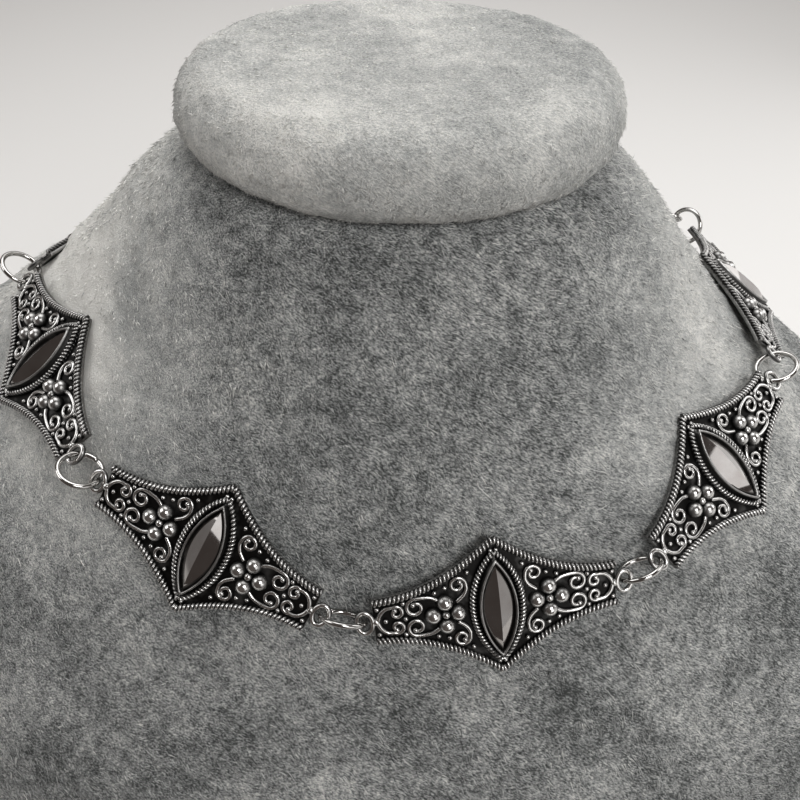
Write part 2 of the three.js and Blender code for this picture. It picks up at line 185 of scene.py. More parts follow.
def ovalLoop(out, level, halfLong, halfWide, count):
    # a closed oval in the XY plane, its centre moved out along X
    turns = [k * math.pi / (count / 2) for k in range(count)]
    return [Vector((out + halfLong * math.cos(t), halfWide * math.sin(t), level)) for t in turns]


def lineLengths(line):
    lengths = [0.0]
    for first, second in zip(line, line[1:]):
        lengths.append(lengths[-1] + (second - first).length)
    return lengths


def wire(line, radius, sides=8, step=0.2, closed=False, twist=0.0, lobe=0.0, taper=0.0,
         up=Vector((0, 0, 1))):
    # a round or twisted wire laid along a line, whose side is found from up; twist is in turns
    # to the millimetre, and lobe parts the round into two strands
    if closed:
        line = line + [line[0]]
    spans = [second - first for first, second in zip(line, line[1:])]
    lengths = lineLengths(line)
    whole = lengths[-1]
    steps = max(3, round(whole / step))
    work = bmesh.new()
    bmesh.ops.create_circle(work, segments=sides, radius=radius,
                            matrix=Matrix.Rotation(math.pi / 2, 4, "Y"))
    worn = work.verts.layers.float.new("wear")
    for v in work.verts:
        strand = abs(math.cos(math.atan2(v.co.z, v.co.y)))
        v[worn] = min(1.0, 1.5 * strand ** 3) if lobe else 1.0  # black between the strands
        v.co *= 1 + lobe * (2 * strand - 1)
    turns = round(whole * twist * 2) / 2 if closed else whole * twist
    bmesh.ops.spin(work, geom=work.verts[:] + work.edges[:], axis=(1, 0, 0), cent=(0, 0, 0),
                   dvec=(whole / steps, 0, 0), angle=2 * math.pi * turns, steps=steps)
    if not closed:
        bmesh.ops.holes_fill(work, edges=[e for e in work.edges if e.is_boundary], sides=sides)
    marks = np.array(lengths)
    last = len(spans) - 1
    for v in work.verts:
        along = min(max(v.co.x, 0.0), whole)
        i = min(int(np.searchsorted(marks, along, side="right")) - 1, last)
        t = (along - lengths[i]) / max(lengths[i + 1] - lengths[i], 1e-9)
        centre = line[i].lerp(line[i + 1], t)
        here = spans[i]
        before = spans[i - 1] if i > 0 or closed else here
        after = spans[i + 1] if i < last else (spans[0] if closed else here)
        bend = (before.normalized() + here.normalized()).lerp(
            here.normalized() + after.normalized(), t)
        side = up.cross(bend).normalized()
        over = bend.cross(side).normalized()
        thick = 1 - taper * along / whole
        v.co = centre + side * v.co.y * thick + over * v.co.z * thick
    bmesh.ops.remove_doubles(work, verts=work.verts, dist=1e-4)
    bmesh.ops.recalc_face_normals(work, faces=work.faces)
    return work


def addTo(target, part, copies=(None,)):
    # puts a copy of a part into the target for each matrix, right side out and with its wear
    shape = bpy.data.meshes.new("part")
    own = part.verts.layers.float.get("wear")
    worn = [v[own] if own else 1.0 for v in part.verts]
    part.to_mesh(shape)
    kept = target.verts.layers.float.get("wear") or target.verts.layers.float.new("wear")
    for matrix in copies:
        copied = shape.copy()
        if matrix is not None:
            copied.transform(matrix)
            if matrix.determinant() < 0:
                copied.flip_normals()
        before = len(target.verts)
        target.from_mesh(copied)
        target.verts.ensure_lookup_table()
        for i, value in enumerate(worn):
            target.verts[before + i][kept] = value
        bpy.data.meshes.remove(copied)
    bpy.data.meshes.remove(shape)
    part.free()


def ball(place, radius, sides):
    work = bmesh.new()
    bmesh.ops.create_uvsphere(work, u_segments=sides, v_segments=sides // 2 + 1, radius=1,
                              matrix=Matrix.Translation(place) @ Matrix.Scale(radius, 4))
    return work


def meshOf(name, work):
    mesh = bpy.data.meshes.new(name)
    work.to_mesh(mesh)
    work.free()
    return mesh


def finished(name, work, material, replaced, matrix=None):
    # a piece from a bmesh in millimetres, placed in the frame
    mesh = meshOf(name, work)
    mesh.transform((matrix or Matrix.Identity(4)) @ Matrix.Scale(mm, 4))
    return pieceOf(name, mesh, material, replaced)


def pieceOf(name, mesh, material, replaced, smooth=True):
    # a piece from a mesh that is already in its place
    if smooth:
        mesh.shade_smooth()
    mesh.materials.clear()
    mesh.materials.append(material)
    piece = bpy.data.objects.new(name, mesh)
    bpy.context.scene.collection.objects.link(piece)
    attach(piece, "root")
    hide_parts(*replaced)
    return piece


# camera, first, since it settles what is seen

view = {
    "place": (0.75, -144.3, 212.4),  # millimetres
    "looksDown": 41.68,  # degrees
    "azimuth": -0.24,
    "roll": -1.77,
    "lens": 45.0,
    "clipStart": 0.005,  # metres
}


def addCamera():
    down, around, roll = (math.radians(view[k]) for k in ("looksDown", "azimuth", "roll"))
    back = Vector((math.sin(around) * math.cos(down), -math.cos(around) * math.cos(down),
                   math.sin(down)))
    right = (-back).cross(Vector((0, 0, 1))).normalized()
    up = back.cross(right)
    turned = right * math.cos(roll) - up * math.sin(roll)
    camera = bpy.data.objects.new("camera", bpy.data.cameras.new("camera"))
    camera.matrix_world = Matrix.Translation(Vector(view["place"]) * mm) @ \
        Matrix((turned, back.cross(turned), back)).transposed().to_4x4()
    camera.data.lens = view["lens"]
    camera.data.clip_start = view["clipStart"]
    bpy.context.scene.collection.objects.link(camera)
    bpy.context.scene.camera = camera


addCamera()
print("camera placed")


# finishes

silver = {
    "black": ((0.004, 0.0038, 0.0036), (0.02, 0.019, 0.018)),  # in the recesses
    "rubbed": ((0.60, 0.59, 0.57), (0.94, 0.93, 0.91)),
    "grimeScale": 900, "fineScale": 4200, "patchScale": 420,
    "patchFrom": 0.52, "patchAmount": 0.5,  # worn patches in the black
    "dullest": 0.5, "polish": 0.37, "uneven": 0.08,
    "bump": 0.25, "bumpDepth": 0.00006,  # depths of bumps in metres
}
wireMetal = {
    "tones": ((0.32, 0.31, 0.295), (0.66, 0.65, 0.63)),
    "broadScale": 380, "fineScale": 2600,
    "gloss": 0.06, "uneven": 0.12, "bump": 0.15, "bumpDepth": 0.00003,
}
gem = {
    "tones": ((0.25, 0.22, 0.205), (0.46, 0.453, 0.443)),
    "cloudScale": 260, "speckScale": 3000,
    "gloss": 0.06, "uneven": 0.05, "coat": 0.3, "coatGloss": 0.04,
}
plush = {
    "clothStops": [(0.0, (0.06, 0.064, 0.062)), (0.4, (0.26, 0.268, 0.264)),
                   (0.7, (0.50, 0.505, 0.49)), (1.0, (0.80, 0.79, 0.75))],
    "fibreStops": [(0.0, (0.05, 0.054, 0.052)), (0.45, (0.36, 0.368, 0.36)),
                   (0.75, (0.60, 0.602, 0.58)), (1.0, (0.88, 0.87, 0.83))],
    "patchScale": 62, "patchAmount": 0.9,
    "tuftScale": 520, "grainScale": 4200, "grainTurn": (0, 0.6, 0), "grainStretch": (2.6, 1, 1),
    "grainShare": 0.75, "grainAmount": 5.9, "grainFade": 5.5,  # the grain fades on pale cloth
    "bump": 0.8, "bumpDepth": 0.0008,
    "highlight": 0.1, "sheen": 0.2, "sheenSpread": 0.4,
}


def agedSilver():
    # cast silver, blackened in the recesses and rubbed bright on top
    finish = Finish("agedSilver")
    place = finish.place()
    wear = finish.attribute("wear")
    grime = finish.noise(place, silver["grimeScale"], detail=4, roughness=0.6)
    fine = finish.noise(place, silver["fineScale"], detail=2, roughness=0.6)
    patch = finish.noise(place, silver["patchScale"], detail=2)
    patches = ((patch - silver["patchFrom"]) * silver["patchAmount"]).clamp()
    shine = (wear * (grime + 0.5) + patches).clamp()
    rough = silver["dullest"] - shine * silver["polish"] + (fine - 0.5) * silver["uneven"]
    return finish.set(
        Base_Color=finish.mix(shine, finish.mix(fine, *silver["black"]),
                              finish.mix(grime, *silver["rubbed"])),
        Metallic=1.0,
        Roughness=rough.clamp(0.07, 0.9),
        Normal=finish.bump(grime * 0.6 + fine * 0.4, silver["bump"], silver["bumpDepth"]),
    )


def brightWire():
    # bare drawn wire, duller and brighter by turns
    finish = Finish("brightWire")
    place = finish.place()
    fine = finish.noise(place, wireMetal["fineScale"], roughness=0.6)
    broad = finish.noise(place, wireMetal["broadScale"])
    return finish.set(
        Base_Color=finish.mix(broad, *wireMetal["tones"]),
        Metallic=1.0,
        Roughness=(fine * wireMetal["uneven"] + wireMetal["gloss"]).clamp(),
        Normal=finish.bump(fine, wireMetal["bump"], wireMetal["bumpDepth"]),
    )


def polishedStone():
    # dark metallic stone with a mirror polish
    finish = Finish("polishedStone")
    place = finish.place()
    cloud = finish.noise(place, gem["cloudScale"], roughness=0.55)
    speck = finish.noise(place, gem["speckScale"], detail=2)
    return finish.set(
        Base_Color=finish.mix(cloud, *gem["tones"]),
        Metallic=1.0,
        Roughness=(speck * gem["uneven"] + gem["gloss"]).clamp(),
        Coat_Weight=gem["coat"],
        Coat_Roughness=gem["coatGloss"],
    )


def plushPatches(finish, place):
    # broad darker and paler patches, the same on the cloth and its pile
    patch = finish.noise(place, plush["patchScale"], roughness=0.55)
    return (patch - 0.5) * plush["patchAmount"]


def greyPlush():
    # the cloth under the pile, its grain drawn out along the lie
    finish = Finish("greyPlush")
    place = finish.place()
    shade = finish.attribute("shade")
    tuft = finish.noise(place, plush["tuftScale"], roughness=0.6)
    lie = finish.node("ShaderNodeMapping", {"vector_type": "TEXTURE"}, place, None,
                      plush["grainTurn"], plush["grainStretch"])
    grain = finish.noise(lie, plush["grainScale"], detail=4, roughness=0.7)
    pile = tuft * (1 - plush["grainShare"]) + grain * plush["grainShare"]
    contrast = plush["grainAmount"] - shade * plush["grainFade"]
    tone = (pile - 0.5) * contrast + plushPatches(finish, place) + shade
    return finish.set(
        Base_Color=finish.ramp(plush["clothStops"], tone),
        Roughness=1.0,
        Specular_IOR_Level=plush["highlight"],
        Normal=finish.bump(pile, plush["bump"], plush["bumpDepth"]),
    )


def plushFibre():
    # the pile itself, painted dark at its roots and pale at its tips, a painted shade deep in the
    # pile
    finish = Finish("plushFibre")
    tone = finish.attribute("shade") + plushPatches(finish, finish.place())
    return finish.set(
        Base_Color=finish.ramp(plush["fibreStops"], tone),
        Roughness=1.0,
        Specular_IOR_Level=plush["highlight"],
        Sheen_Weight=plush["sheen"],
        Sheen_Roughness=plush["sheenSpread"],
    )


finishes = {"silver": agedSilver(), "wire": brightWire(), "stone": polishedStone(),
            "plush": greyPlush(), "fibre": plushFibre()}
print("finishes made")


# links

link = {
    "halfLength": 18.8, "apexHeight": 11.3, "endHeight": 3.7,  # the plate's outline
    "back": -1.35, "ground": -0.75, "edgeBevel": 0.1, "bendRadius": 198.0,
    "columns": 72, "rows": 12,
}
rope = {  # the twisted wire round the plate, set in from its outline
    "radius": 0.52, "level": -0.46, "inset": 0.5, "apexInset": 0.26,
    "apexDrop": 1.16,  # the first point's inset, in apex insets
    "twist": 0.73, "lobe": 0.24, "points": 40, "step": 0.13,
}
setting = {
    "ropeHalfWidth": 3.8, "ropeHalfHeight": 8.98, "ropeRadius": 0.48, "ropeLevel": -0.2,
    "ropeTwist": 0.79, "ropeStep": 0.12,
    "rings": [  # half width, half height and level, from the outer foot over the rim to the seat
        (4.1, 9.2, -0.85), (4.1, 9.2, -0.6), (3.05, 8.35, -0.5), (2.94, 8.14, 0.66),
        (2.9, 8.06, 0.9), (2.8, 7.94, 1.02), (2.62, 7.66, 0.97), (2.54, 7.52, 0.7),
        (2.5, 7.42, -0.4), (2.2, 6.8, -0.72),
    ],
    "solidRim": 1.0,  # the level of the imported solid's rim
    "tipGrain": 0.36, "tipOut": 0.42, "tipPast": 0.28, "tipLevel": -0.3,
}
scrolls = {
    "radius": 0.35, "level": -0.5, "taper": 0.12, "end": 1.3, "points": 16,
    "curls": [  # a lead of points into a spiral: its centre, radii and turn in degrees
        {"lead": [(6.2, 1.6), (5.0, 2.6), (4.5, 3.6)], "centre": (5.8, 4.4), "outer": 1.3,
         "inner": 0.55, "first": 190, "turn": -420},
        {"lead": [(8.97, 2.3), (10.0, 2.9), (11.2, 3.1)], "centre": (12.4, 1.62), "outer": 1.5,
         "inner": 0.6, "first": 95, "turn": -400},
        {"lead": [(18.2, 0.12), (17.8, 1.15), (16.9, 2.0)], "centre": (15.3, 1.2), "outer": 1.08,
         "inner": 0.45, "first": 60, "turn": 360},
    ],
}
grains = {
    "radius": 0.4, "level": -0.5,
    "quarter": [(4.2, 6.25), (7.75, 4.2), (9.35, 3.62), (14.2, 2.6), (18.15, 2.1)],
    "half": [(14.0, 0.0), (17.0, 0.0)],
}
flower = {"out": 7.97, "petalOut": 1.9, "petal": 1.28, "petalLevel": -0.3, "button": 0.66,
          "buttonLevel": 0.0}
eye = {"out": 20.15, "halfWidth": 1.2, "halfHeight": 1.7, "wire": 0.41, "level": -0.6,
       "solder": 0.7, "solderInset": 0.3, "solderLevel": -0.75}
rubbing = {  # how bright each part is, from 0 in the black ground to 1 where it is rubbed
    "ground": 0.01, "groundBelow": 0.02, "groundAbove": 0.05,  # what still counts as ground
    "wall": 0.3, "flank": 0.06, "rise": 0.5,
    "bezelHalfWidth": 3.1, "bezelHalfHeight": 8.35, "bezelFrom": 0.74, "bezelRise": 0.2,
    "bezelLow": 0.04, "bezelHigh": 0.45,  # only the bezel's rim is bright
}
stone = {"halfWidth": 2.45, "halfHeight": 7.3, "edge": 0.42, "ridge": 1.7, "foot": -0.42,
         "crown": 0.02, "thinnest": 0.02, "tipFall": 3.5, "columns": 16, "rows": 40}


def bow(x):
    # how far a casting stands out at x because it is bowed, nothing at its eyes
    return (eye["out"] ** 2 - x ** 2) / (2 * link["bendRadius"])


def edgeHeight(x):
    # the plate's half height, concave from the apex out to the end
    rise = 1 - abs(x) / link["halfLength"]
    return link["endHeight"] + (link["apexHeight"] - link["endHeight"]) * rise ** 2


def arcRadius(halfWidth, halfHeight):
    # the radius of a pointed oval's two sides
    return (halfWidth ** 2 + halfHeight ** 2) / (2 * halfWidth)


def ovalLine(halfWidth, halfHeight, level):
    # the right side of a pointed oval, from its lower tip to its upper tip
    radius = arcRadius(halfWidth, halfHeight)
    reach = math.asin(halfHeight / radius)
    steps = 24
    turns = [-reach + 2 * reach * k / steps for k in range(steps + 1)]
    return [Vector((radius * math.cos(t) - radius + halfWidth, radius * math.sin(t), level))
            for t in turns]


def curlLine(curl):
    # a scroll's centre line, winding in to a tight spiral
    points = [Vector((x, y, scrolls["level"])) for x, y in curl["lead"]]
    count = scrolls["points"]
    for k in range(count + 1):
        turn = math.radians(curl["first"] + curl["turn"] * k / count)
        reach = curl["outer"] + (curl["inner"] - curl["outer"]) * k / count
        points.append(Vector((curl["centre"][0] + reach * math.cos(turn),
                              curl["centre"][1] + reach * math.sin(turn), scrolls["level"])))
    return smoothLine(points, 4)


def extrudedDown(work, level):
    # gives a sheet its sides and a flat back at the level
    back = bmesh.ops.extrude_face_region(work, geom=work.faces[:])
    for item in back["geom"]:
        if isinstance(item, bmesh.types.BMVert):
            item.co.z = level
    bmesh.ops.recalc_face_normals(work, faces=work.faces)


def plateWork():
    work = bmesh.new()
    bmesh.ops.create_grid(work, x_segments=link["columns"], y_segments=link["rows"], size=1)
    for v in work.verts:
        x = v.co.x * link["halfLength"]
        v.co = (x, v.co.y * edgeHeight(x), link["ground"])
    extrudedDown(work, link["back"])
    sharp = [e for e in work.edges if e.calc_face_angle(0) > 1.0]
    bmesh.ops.bevel(work, geom=sharp, offset=link["edgeBevel"], offset_type="OFFSET", segments=2,
                    profile=0.5, affect="EDGES", material=-1)
    return work


def settingWork():
    # the oval wall that holds the stone, skinned over its rings
    work = bmesh.new()
    loops = []
    for halfWidth, halfHeight, level in setting["rings"]:
        right = ovalLine(halfWidth, halfHeight, level)
        left = [Vector((-p.x, p.y, p.z)) for p in reversed(right[1:-1])]
        verts = [work.verts.new(p) for p in right + left]
        loops.append([work.edges.new((a, b)) for a, b in zip(verts, verts[1:] + verts[:1])])
    for outer, inner in zip(loops, loops[1:]):
        bmesh.ops.bridge_loops(work, edges=outer + inner)
    bmesh.ops.holes_fill(work, edges=loops[0], sides=0)
    bmesh.ops.holes_fill(work, edges=loops[-1], sides=0)
    bmesh.ops.recalc_face_normals(work, faces=work.faces)
    return work


halves = [Matrix.Diagonal((x, 1, 1, 1)) for x in (1, -1)]
quarters = [Matrix.Diagonal((x, y, 1, 1)) for y in (1, -1) for x in (1, -1)]


def ropeLine():
    # the plate's outline from its apex to its end, moved inwards
    rise = link["apexHeight"] - link["endHeight"]
    line = [Vector((0.0, edgeHeight(0) - rope["apexInset"] * rope["apexDrop"], rope["level"]))]
    for k in range(1, rope["points"] + 1):
        x = link["halfLength"] * k / rope["points"]
        slope = -2 * rise * (1 - x / link["halfLength"]) / link["halfLength"]
        inwards = Vector((slope, -1, 0)).normalized()
        blend = min(k / (rope["points"] / 2), 1)
        inset = rope["apexInset"] + (rope["inset"] - rope["apexInset"]) * blend
        line.append(Vector((x, edgeHeight(x), rope["level"])) + inwards * inset)
    return line


def castingWork():
    casting = bmesh.new()
    addTo(casting, plateWork())
    addTo(casting, settingWork())
    addTo(casting, wire(ropeLine(), rope["radius"], sides=12, step=rope["step"],
                        twist=rope["twist"], lobe=rope["lobe"]), quarters)
    ovalRope = ovalLine(setting["ropeHalfWidth"], setting["ropeHalfHeight"], setting["ropeLevel"])
    addTo(casting, wire(ovalRope, setting["ropeRadius"], sides=12, step=setting["ropeStep"],
                        twist=setting["ropeTwist"], lobe=rope["lobe"]), halves)
    for curl in scrolls["curls"]:
        path = curlLine(curl)
        addTo(casting, wire(path, scrolls["radius"], taper=scrolls["taper"]), quarters)
        addTo(casting, ball(path[-1], scrolls["radius"] * scrolls["end"], 10), quarters)
    for places, copies in ((grains["quarter"], quarters), (grains["half"], halves)):
        for x, y in places:
            addTo(casting, ball(Vector((x, y, grains["level"])), grains["radius"], 10), copies)
    tipHeight = setting["ropeHalfHeight"] + setting["tipPast"]
    for y in (-tipHeight, tipHeight):
        for x in (-setting["tipOut"], setting["tipOut"]):
            addTo(casting, ball(Vector((x, y, setting["tipLevel"])), setting["tipGrain"], 10))
    for turn in (0, math.pi / 2, math.pi, 3 * math.pi / 2):
        petal = Vector((flower["out"] + flower["petalOut"] * math.cos(turn),
                        flower["petalOut"] * math.sin(turn), flower["petalLevel"]))
        addTo(casting, ball(petal, flower["petal"], 18), halves)
    button = Vector((flower["out"], 0, flower["buttonLevel"]))
    addTo(casting, ball(button, flower["button"], 14), halves)
    loop = ovalLoop(eye["out"], eye["level"], eye["halfWidth"], eye["halfHeight"], 28)
    addTo(casting, wire(loop, eye["wire"], sides=10, step=0.3, closed=True), halves)
    solder = Vector((link["halfLength"] - eye["solderInset"], 0, eye["solderLevel"]))
    addTo(casting, ball(solder, eye["solder"], 14), halves)
    return casting


def rub(work):
    # writes how far each point stands up out of the blackened ground and is rubbed
    layer = work.verts.layers.float["wear"]
    work.normal_update()
    for v in work.verts:
        bezel = math.hypot(v.co.x / rubbing["bezelHalfWidth"], v.co.y / rubbing["bezelHalfHeight"])
        if v.co.z < link["ground"] - rubbing["groundBelow"]:
            v[layer] = rubbing["wall"]
        elif v.co.z < link["ground"] + rubbing["groundAbove"]:
            v[layer] = rubbing["ground"]
        elif bezel < 1.0:
            shine = (v.co.z - rubbing["bezelFrom"]) / rubbing["bezelRise"]
            v[layer] = min(max(shine, rubbing["bezelLow"]), rubbing["bezelHigh"])
        else:
            rise = min((v.co.z - link["ground"]) / rubbing["rise"], 1.0)
            top = max(v.normal.z, 0.0) ** 2
            v[layer] *= rise * (rubbing["flank"] + (1 - rubbing["flank"]) * top)


def bend(work):
    # bows the casting to follow the neck
    for v in work.verts:
        v.co.z += bow(v.co.x)


def stoneWork():
    # a roof of two slightly crowned facets, sharp along its ridge and down to both tips
    work = bmesh.new()
    bmesh.ops.create_grid(work, x_segments=stone["columns"], y_segments=stone["rows"], size=1)
    radius = arcRadius(stone["halfWidth"], stone["halfHeight"])
    for v in work.verts:
        across, along = v.co.x, v.co.y * stone["halfHeight"]
        half = math.sqrt(max(radius ** 2 - along ** 2, 0)) - radius + stone["halfWidth"]
        height = (stone["ridge"] - stone["edge"]) * (1 - abs(v.co.y) ** stone["tipFall"])
        slope = 1 - abs(across)
        crown = stone["crown"] * slope * (1 - slope) * 4 * (1 - abs(v.co.y) ** 2)
        v.co = (across * max(half, stone["thinnest"]), along,
                stone["edge"] + height * slope + crown)
    extrudedDown(work, stone["foot"])
    for face in work.faces:
        face.smooth = True
    for e in work.edges:
        onRidge = all(abs(v.co.x) < 1e-4 for v in e.verts)
        e.smooth = not (onRidge or e.calc_face_angle(0) > 1.0)
    return work


castingShape = castingWork()
rub(castingShape)
bend(castingShape)
castingMesh = meshOf("casting", castingShape)
stoneMesh = meshOf("stone", stoneWork())
stoneMesh.transform(Matrix.Translation((0, 0, bow(0))))
frontHeight = setting["solidRim"] + bow(0)

for name in linkNames:
    place = linkFrame(nodes[name], frontHeight) @ Matrix.Scale(mm, 4)
    shape = castingMesh.copy()
    shape.transform(place)
    pieceOf(name + "_casting", shape, finishes["silver"], [name])
    shape = stoneMesh.copy()
    shape.transform(place)
    pieceOf(name + "_gem", shape, finishes["stone"], [name + "_stone"], smooth=False)
print("links made,", len(castingMesh.polygons), "faces each")


# jump rings

ring = {
    "radius": 3.38, "wire": 0.45, "steps": 64, "sides": 12,
    "cut": 1.6,  # degrees of the round that the sawn gap takes
    "cutTurn": 0.9,  # radians from the lowest point to the gap
}


def ringWork():
    work = bmesh.new()
    section = Matrix.Translation((ring["radius"], 0, 0)) @ Matrix.Rotation(math.pi / 2, 4, "X")
    bmesh.ops.create_circle(work, segments=ring["sides"], radius=ring["wire"], matrix=section)
    bmesh.ops.spin(work, geom=work.verts[:] + work.edges[:], cent=(0, 0, 0), axis=(0, 0, 1),
                   angle=math.radians(360 - ring["cut"]), steps=ring["steps"])
    bmesh.ops.holes_fill(work, edges=[e for e in work.edges if e.is_boundary], sides=ring["sides"])
    bmesh.ops.recalc_face_normals(work, faces=work.faces)
    return work


for name in ringNames:
    centre, (thin, _, _) = solidAxes(nodes[name])
    thin = facing(thin, Vector((0, 0, 1)))
    downhill = (Vector((0, 0, -1)) + thin * thin.z).normalized()
    turn = axesMatrix(centre, downhill, thin) @ Matrix.Rotation(ring["cutTurn"], 4, "Z")
    finished(name + "_wire", ringWork(), finishes["wire"], [name], matrix=turn)
print("jump rings made")


# chain and clasp behind the neck

chain = {
    "pitch": 1.88, "halfLong": 1.2, "halfWide": 0.62, "wire": 0.23,
    "eyeRadius": 1.5, "eyeWire": 0.37,
    "eyeSpan": 3.6,  # how much of the bar's end is taken for its eye
    "firstLink": 2.05,  # from an eye's centre to the nearest link's
    "bins": 14,  # stretches that the bar's middle line is measured in
}
clasp = {
    "halfLength": 4.7, "halfWidth": 2.1, "halfThick": 1.2,
    "eyeOut": 5.5, "eyeRadius": 1.3, "eyeWire": 0.45,
}


def chainRoute(name):
    # the two end eyes of a bar that runs round the neck and the line between them
    places = np.array([v.co / mm for v in nodes[name].data.vertices])
    turns = np.arctan2(places[:, 0], places[:, 1])
    eyes = []
    for tip in (places[turns.argmin()], places[turns.argmax()]):
        near = places[np.linalg.norm(places - tip, axis=1) < chain["eyeSpan"]]
        middle = near.mean(axis=0)
        along, _, flat = np.linalg.svd(near - middle, full_matrices=False)[2]
        along = along if along @ (tip - middle) > 0 else -along
        flat = flat if flat[1] > 0 else -flat
        reach = ((near - middle) @ along).max() - chain["eyeRadius"] - chain["eyeWire"]
        eyes.append(axesMatrix(Vector(middle + along * reach), Vector(along), Vector(flat)))
    edges = np.linspace(turns.min(), turns.max(), chain["bins"] + 1)[1:-1]
    groups = [places[(turns >= low) & (turns < high)] for low, high in zip(edges, edges[1:])]
    line = [Vector(g.mean(axis=0)) for g in groups if len(g) > 3]
    return eyes, smoothLine([eyes[0].translation] + line + [eyes[1].translation], 8)


def ovalWire(halfLong, halfWide, radius, sides):
    return wire(ovalLoop(0, 0, halfLong, halfWide, 20), radius, sides=sides, step=0.35, closed=True)


def chainWork(name):
    # an eye at each end and small links between them, each a quarter turn from the next
    eyes, line = chainRoute(name)
    lengths = lineLengths(line)
    work = bmesh.new()
    addTo(work, ovalWire(chain["eyeRadius"], chain["eyeRadius"], chain["eyeWire"], 10), eyes)
    span = lengths[-1] - 2 * chain["firstLink"]
    gaps = 2 * round(span / chain["pitch"] / 2)  # even, so that both end links stand the same way
    for k in range(gaps + 1):
        along = chain["firstLink"] + span * k / gaps
        i = max(1, int(np.searchsorted(lengths, along)))
        here = line[i - 1].lerp(line[i], (along - lengths[i - 1]) / (lengths[i] - lengths[i - 1]))
        tangent = (line[i] - line[i - 1]).normalized()
        outward = eyes[0].col[2].xyz.lerp(eyes[1].col[2].xyz, k / gaps)
        outward = (outward - tangent * outward.dot(tangent)).normalized()
        turn = Matrix.Rotation(0 if k % 2 else math.pi / 2, 4, "X")
        addTo(work, ovalWire(chain["halfLong"], chain["halfWide"], chain["wire"], 6),
              [axesMatrix(here, tangent, outward) @ turn])
    return work


def claspWork():
    # a smooth oval body with an upright eye at each end
    work = bmesh.new()
    size = (clasp["halfLength"], clasp["halfWidth"], clasp["halfThick"], 1)
    bmesh.ops.create_uvsphere(work, u_segments=32, v_segments=20, radius=1,
                              matrix=Matrix.Diagonal(size))
    for out in (-clasp["eyeOut"], clasp["eyeOut"]):
        flat = ovalLoop(out, 0, clasp["eyeRadius"], clasp["eyeRadius"], 24)
        upright = [Vector((p.x, 0, p.y)) for p in flat]
        addTo(work, wire(upright, clasp["eyeWire"], sides=10, step=0.3, closed=True,
                         up=Vector((0, 1, 0))))
    return work


for name in chainNames:
    finished(name + "_links", chainWork(name), finishes["wire"], [name])
centre, (thin, wide, long) = solidAxes(nodes["clasp"])
fromNeck = Vector((centre.x, centre.y, 0)).normalized()
outward = facing(max(thin, wide, key=lambda way: abs(way.dot(fromNeck))), fromNeck)
finished("clasp_body", claspWork(), finishes["wire"], ["clasp"],
         matrix=axesMatrix(centre, long, outward))
print("chain and clasp made")


# plush bust and cap

bust = {
    "levels": 3,
    "pile": 1.9, "leftPile": 2.4, "rightPile": -1.0,  # the cloth's height over the solid
    "tuft": 0.22, "tuftSize": 2.4, "slow": 0.45, "clear": 0.25,
    "fibres": 116000, "parts": 3, "length": 1.65, "width": 0.24, "lean": 0.36,
    "turn": -0.25, "turnRight": -1.0, "jitter": 0.3,  # the lie in radians from level
    # the two side amounts on the next line set a painted sheen, paler towards each side
    "cloth": 0.36, "tone": 0.44, "leftSheen": 0.6, "rightSheen": 0.38, "contrast": 0.24,
    "clump": 2.4, "clumping": 0.5,
}
cap = {
    "levels": 2,
    "pile": 1.1, "leftPile": 0.0, "rightPile": 0.0,
    "tuft": 0.16, "tuftSize": 2.2, "slow": 0.3, "clear": 0.15,
    "fibres": 27000, "parts": 1, "length": 1.3, "width": 0.25, "lean": 0.3,
    "turn": -2.3, "turnRight": -2.3, "jitter": 0.5,
    # the cap's cloth and pile are much paler than the bust's; part of this is painted light, the
    # light from above on the cap and its shade on the neck
    "cloth": 0.72, "tone": 0.82, "leftSheen": 0.0, "rightSheen": 0.12, "contrast": 0.09,
    "clump": 1.8, "clumping": 0.25,
}
nap = {  # what both share; a pair is where a change starts and how far it runs, in millimetres
    "sheenOut": (24, 26), "sheenUp": (80, 25),  # where the sides are painted paler, a painted sheen
    "shoulderOut": (30, 25), "shoulderBack": (-10, 20),  # where a side's own height counts
    "footUp": (0, 4), "turnAcross": (-30, 80), "slowSize": 14,
    "frontEnds": 20, "frontShare": 2.0, "backShare": 0.6,  # more fibres in front
    "lowest": 2.6, "clear": 1.3,  # room over the floor and round the metal
    "root": 0.3, "thick": 0.9,  # a fibre's depth in the cloth, and its thickness in widths
    "swirls": [(0.9, 26, (0, 0, 0)), (0.7, 9, (5, 9, 2))],  # amount, size, offset
    "lengths": (0.6, 1.15), "widths": (0.6, 1.2), "leans": (0.4, 1.5),
}


def metalTree():
    # everything of metal as one shape, for the cloth and the fibres to keep clear of
    parts = bmesh.new()
    for name in linkNames + ringNames + chainNames + ["clasp"]:
        parts.from_mesh(nodes[name].data)
    tree = BVHTree.FromBMesh(parts)
    parts.free()
    return tree


def ease(value, change):
    # 0 before a change starts, 1 where it ends
    return min(max((value - change[0]) / change[1], 0.0), 1.0)


def paintedSideSheen(spots, values):
    # painted sheen: the neck's sides, and a little of the cap's right side, are painted paler, as
    # cloth looks at a grazing angle
    out, up = nap["sheenOut"], nap["sheenUp"]
    side = np.clip((np.abs(spots[:, 0]) - out[0]) / out[1], 0, 1) \
        * np.clip((spots[:, 2] - up[0]) / up[1], 0, 1)
    return side * np.where(spots[:, 0] < 0, values["leftSheen"], values["rightSheen"])


def shadeAt(mesh, shades):
    # writes how pale each point is, which the finishes read
    mesh.attributes.new("shade", "FLOAT", "POINT").data.foreach_set("value", shades)


